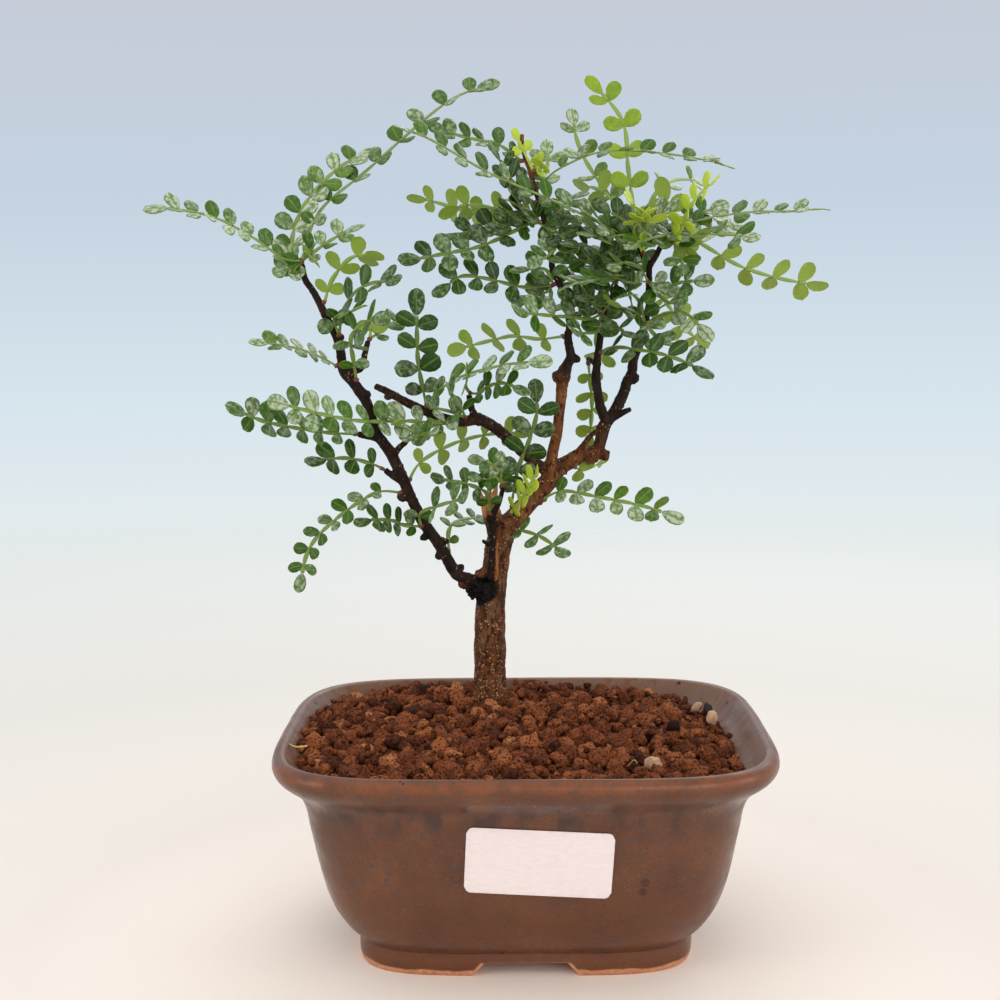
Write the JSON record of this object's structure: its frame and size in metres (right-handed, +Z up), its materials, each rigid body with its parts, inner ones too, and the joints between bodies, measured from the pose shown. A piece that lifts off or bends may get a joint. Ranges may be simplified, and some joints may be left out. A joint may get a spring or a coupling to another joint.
{
  "type": "chinese pepper bonsai in pot",
  "caption": "Small bonsai tree with forked trunk and sprays of compound glossy leaves, in grainy soil in a rounded rectangular glazed pot with corner feet.",
  "frame": {"origin": "on the surface that the pot stands on, under the middle of the whole object's box; the pot's own middle is 3.8 mm right of it and 5.7 mm in front of it", "axes": "+Z up the tree, -Y the front with the label, which the picture shows, +X to the right in the picture"},
  "size_m": [0.1978, 0.1294, 0.2522],
  "materials": {
    "pot_glaze": "satin brown glaze with fine dark and blue-grey speckle, paler red-brown along the rim, bare terracotta under the feet",
    "soil_grains": "matte porous red-brown lava and baked clay grains",
    "net_plastic": "matte black plastic net",
    "label_paper": "plain white satin paper sticker",
    "bark": "matte dark red-brown bark with tan lenticels and one torn orange-tan stub",
    "leaf_green": "glossy dark green leaf, paler olive beneath",
    "leaf_young": "soft bright yellow-green young leaf"
  },
  "bodies": {
    "root": {"drain_net": "net_plastic", "label": "label_paper", "pot": "pot_glaze", "soil": "soil_grains", "spray_crown_back": "leaf_green", "spray_crown_left": "leaf_green", "spray_crown_low": "leaf_green", "spray_crown_side": "leaf_green", "spray_hanging": "leaf_green", "spray_left_arch": "leaf_green", "spray_left_behind": "leaf_green", "spray_left_deep": "leaf_green", "spray_left_front": "leaf_green", "spray_left_high": "leaf_green", "spray_left_inner": "leaf_green", "spray_left_knee": "leaf_green", "spray_left_long": "leaf_green", "spray_left_low": "leaf_green", "spray_left_outer": "leaf_green", "spray_left_tip": "leaf_green", "spray_left_twig": "leaf_green", "spray_left_upper": "leaf_green", "spray_level_front": "leaf_green", "spray_level_long": "leaf_green", "spray_level_near": "leaf_green", "spray_level_up": "leaf_green", "spray_limb_back": "leaf_green", "spray_limb_face": "leaf_green", "spray_limb_low": "leaf_green", "spray_limb_side": "leaf_green", "spray_middle_arm": "leaf_green", "spray_middle_crown": "leaf_green", "spray_middle_deep": "leaf_green", "spray_middle_high": "leaf_green", "spray_middle_right": "leaf_green", "spray_middle_top": "leaf_green", "spray_right_arm": "leaf_green", "spray_right_back": "leaf_green", "spray_right_crown": "leaf_green", "spray_right_low": "leaf_green", "spray_shoot_high": "leaf_green", "spray_shoot_low": "leaf_green", "wood": "bark", "young_crown": "leaf_young", "young_limb": "leaf_young", "young_right": "leaf_young", "young_top": "leaf_young"}
  },
  "joints": []
}
